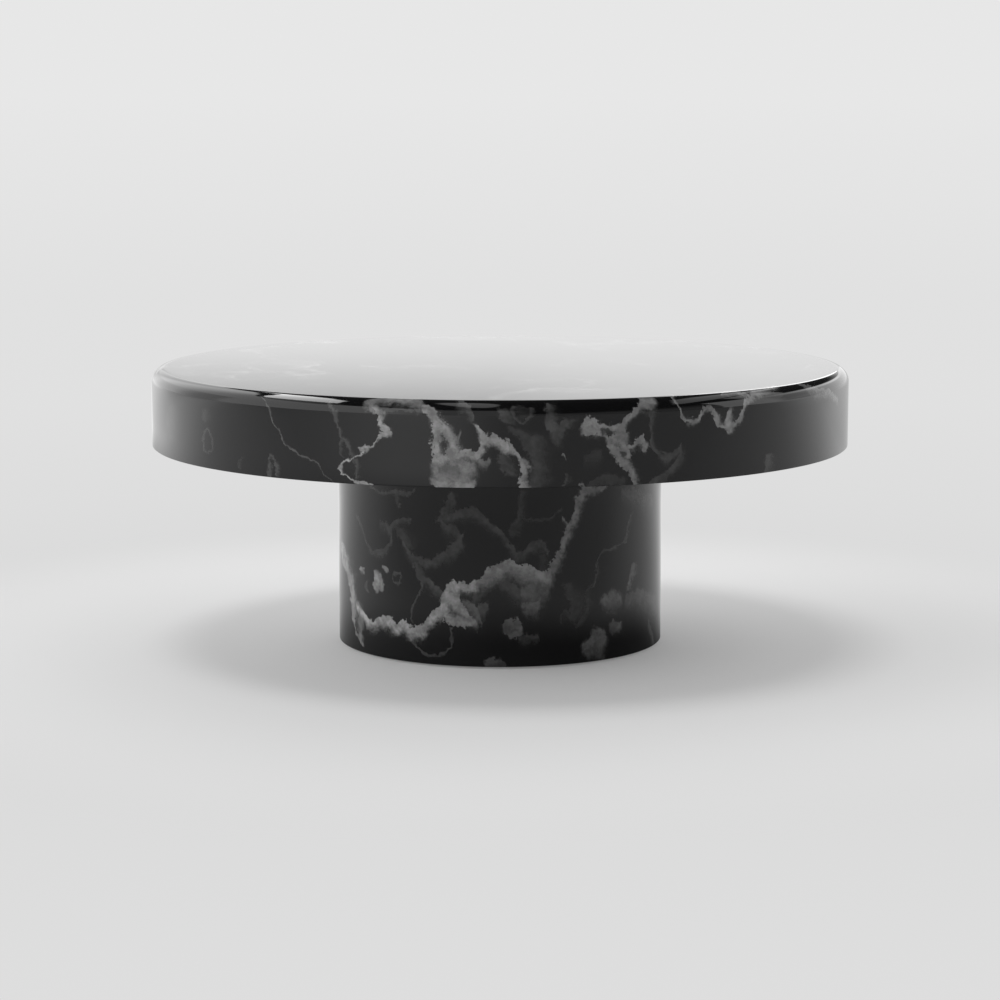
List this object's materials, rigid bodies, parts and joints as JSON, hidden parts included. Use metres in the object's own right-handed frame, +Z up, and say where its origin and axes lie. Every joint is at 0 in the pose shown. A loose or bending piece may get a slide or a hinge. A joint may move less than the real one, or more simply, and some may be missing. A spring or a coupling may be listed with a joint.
{
  "type": "round cocktail table",
  "caption": "Low round cocktail table: a thick polished black stone top with a rounded upper edge on a plain stone drum, with levelling feet under the drum.",
  "frame": {"origin": "on the floor, under the middle of the table", "axes": "+Z up; the joints between two stones lie on +X, the levelling feet between the axes"},
  "size_m": [1.016, 1.016, 0.406],
  "materials": {
    "black_marble": "polished black marble with pale veins",
    "plywood": "raw birch plywood",
    "black_paint": "matt black paint on plywood",
    "beech": "raw beech",
    "zinc_steel": "bright zinc plate",
    "black_nylon": "moulded black nylon"
  },
  "bodies": {
    "table": {"apron_segment_1": "black_marble", "apron_segment_2": "black_marble", "apron_segment_3": "black_marble", "apron_segment_4": "black_marble", "apron_segment_5": "black_marble", "apron_segment_6": "black_marble", "base_ring": "black_paint", "bolt_washers": "zinc_steel", "core_hoop": "plywood", "core_hub": "plywood", "core_rib_1": "plywood", "core_rib_2": "plywood", "core_rib_3": "plywood", "core_rib_4": "plywood", "core_rib_5": "plywood", "core_rib_6": "plywood", "core_rib_7": "plywood", "core_rib_8": "plywood", "drum_fin_1": "plywood", "drum_fin_2": "plywood", "drum_fin_3": "plywood", "drum_fin_4": "plywood", "drum_fin_5": "plywood", "drum_fin_6": "plywood", "drum_former": "plywood", "drum_plate": "plywood", "drum_stave_1": "black_marble", "drum_stave_2": "black_marble", "drum_stave_3": "black_marble", "drum_stave_4": "black_marble", "drum_stave_5": "black_marble", "drum_stave_6": "black_marble", "hub_inserts": "zinc_steel", "leveller_inserts": "zinc_steel", "locating_dowels": "beech", "top_bolts": "zinc_steel", "top_slab": "black_marble", "top_substrate": "plywood", "underside_panel": "black_paint"},
    "leveller_1": {"leveller_stud_1": "zinc_steel", "leveller_pad_1": "black_nylon"},
    "leveller_2": {"leveller_stud_2": "zinc_steel", "leveller_pad_2": "black_nylon"},
    "leveller_3": {"leveller_stud_3": "zinc_steel", "leveller_pad_3": "black_nylon"},
    "leveller_4": {"leveller_stud_4": "zinc_steel", "leveller_pad_4": "black_nylon"}
  },
  "joints": [
    {"name": "leveller_1_height", "type": "slide", "parent": "table", "child": "leveller_1", "axis": [0, 0, -1], "range_m": [0, 0.012]},
    {"name": "leveller_2_height", "type": "slide", "parent": "table", "child": "leveller_2", "axis": [0, 0, -1], "range_m": [0, 0.012]},
    {"name": "leveller_3_height", "type": "slide", "parent": "table", "child": "leveller_3", "axis": [0, 0, -1], "range_m": [0, 0.012]},
    {"name": "leveller_4_height", "type": "slide", "parent": "table", "child": "leveller_4", "axis": [0, 0, -1], "range_m": [0, 0.012]}
  ]
}
